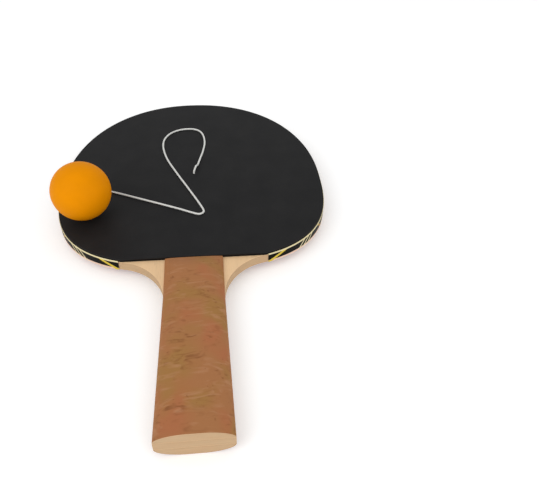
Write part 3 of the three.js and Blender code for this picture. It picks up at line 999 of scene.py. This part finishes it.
def smooth_line(points, step):
    """Places about a step apart on a smooth curve through the points, with centripetal spacing."""
    ends = [2 * points[0] - points[1], *points, 2 * points[-1] - points[-2]]
    line = []
    for before, start, stop, after in zip(ends, ends[1:], ends[2:], ends[3:]):
        gaps = [(b - a).length ** 0.5 for a, b in ((before, start), (start, stop), (stop, after))]
        pull = (start - before) / gaps[0] - (stop - before) / (gaps[0] + gaps[1]) + (stop - start) / gaps[1]
        push = (stop - start) / gaps[1] - (after - start) / (gaps[1] + gaps[2]) + (after - stop) / gaps[2]
        pull, push = pull * gaps[1], push * gaps[1]
        count = max(1, round((stop - start).length / step))
        for i in range(count):
            t = i / count
            line.append(
                start
                + pull * t
                + (3 * (stop - start) - 2 * pull - push) * t**2
                + (2 * (start - stop) + pull + push) * t**3
            )
    return [*line, points[-1]]


class PADDLE_OT_cord(bpy.types.Operator):
    """Lay the braided elastic cord from the middle of the black face to the ball"""

    bl_idname = "paddle.cord"
    bl_label = "Cord"

    def execute(self, context):
        sizes = context.scene.paddle_sizes
        tether = context.scene.paddle_tether
        material = braided_elastic("braided_white_elastic", context.scene.paddle_colours)
        knots = [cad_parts[name] for name in ("anchor_knot", "ball_knot")]
        for knot in knots:
            knot.material_slots[0].material = material
        anchor = Vector((0, anchor_y(sizes), BLACK_FACE_Z))
        line = smooth_line(self.route(sizes, tether, anchor), CORD_RING_STEP)
        bm = bmesh.new()
        self.braid(bm, tether, line)
        piece = finish_piece("elastic_cord_braid", bm, "elastic_cord", [material], 60, even_faces=False)
        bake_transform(piece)
        return {"FINISHED"}

    def route(self, sizes, tether, anchor):
        knot_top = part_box("anchor_knot")[1].z + tether.hole_clearance
        start = Vector((anchor.x, anchor.y, knot_top))
        on_face = [anchor + Vector(place) * MM for place in CORD_ROUTE]
        radius = tether.ball_diameter / 2
        depths = (tether.cord_straight, tether.hole_clearance, -tether.ball_wall - tether.cord_inside)
        into_ball = [ball_centre(sizes, tether) + hole_axis(tether) * (radius + depth) for depth in depths]
        return [start, *on_face, *into_ball]

    def braid(self, bm, tether, line):
        """A tube along the line whose strands stand a little out where they cross, with a groove between."""
        bmesh.ops.create_grid(bm, x_segments=CORD_SIDES, y_segments=len(line) - 1, size=1.0)
        groove = bm.verts.layers.float.new("groove")
        rings = self.rings(line)
        for vert in bm.verts:
            ring = round((vert.co.y + 1) / 2 * (len(line) - 1))
            turn = (vert.co.x + 1) * pi
            centre, side, other, travelled = rings[ring]
            lead = 2 * pi * travelled / tether.braid_lead
            strands = tether.braid_strands
            rise = max(cos(strands * (turn + lead)), cos(strands * (turn - lead)))
            vert[groove] = (1 - rise) / 2
            radius = tether.cord_diameter / 2 - tether.braid_relief * vert[groove]
            vert.co = centre + (side * cos(turn) + other * sin(turn)) * radius
        bmesh.ops.remove_doubles(bm, verts=bm.verts, dist=MERGE_DISTANCE)
        bmesh.ops.holes_fill(bm, edges=bm.edges)

    def rings(self, line):
        """Centre, two directions across, and distance from the start, for each ring of the tube."""
        rings, travelled = [], 0.0
        side = Vector((1, 0, 0))
        along = (line[1] - line[0]).normalized()
        for i, centre in enumerate(line):
            ahead = (line[min(i + 1, len(line) - 1)] - line[max(i - 1, 0)]).normalized()
            side = along.rotation_difference(ahead) @ side
            along = ahead
            side = (side - along * side.dot(along)).normalized()
            if i:
                travelled += (centre - line[i - 1]).length
            rings.append((centre, side, along.cross(side), travelled))
        return rings


class PADDLE_PT_panel(bpy.types.Panel):
    """Sizes, colours and build steps of the paddle"""

    bl_label = "Table Tennis Paddle"
    bl_space_type = "VIEW_3D"
    bl_region_type = "UI"
    bl_category = "Paddle"

    def draw(self, context):
        for operator in BUILD_ORDER:
            self.layout.operator(operator.bl_idname)
        for group in GROUPS:
            box = self.layout.box()
            holder = getattr(context.scene, group)
            for name in holder.bl_rna.properties.keys():
                if name not in ("rna_type", "name"):
                    box.prop(holder, name)


GROUPS = {
    "paddle_sizes": PaddleSizes,
    "paddle_tether": TetherSizes,
    "paddle_colours": PaddleColours,
    "paddle_studio": PaddleStudio,
}
BUILD_ORDER = (
    PADDLE_OT_stage,
    PADDLE_OT_cord,
    PADDLE_OT_blade,
    PADDLE_OT_rubbers,
    PADDLE_OT_edge_tape,
    PADDLE_OT_handle,
    PADDLE_OT_ball,
)
CLASSES = (*GROUPS.values(), *BUILD_ORDER, PADDLE_PT_panel)


def register():
    for item in CLASSES:
        bpy.utils.register_class(item)
    for name, group in GROUPS.items():
        setattr(bpy.types.Scene, name, PointerProperty(type=group))


def unregister():
    for name in GROUPS:
        delattr(bpy.types.Scene, name)
    for item in reversed(CLASSES):
        bpy.utils.unregister_class(item)


def main():
    register()
    for operator in BUILD_ORDER:
        group, name = operator.bl_idname.split(".")
        getattr(getattr(bpy.ops, group), name)()


if __name__ == "__main__":
    main()
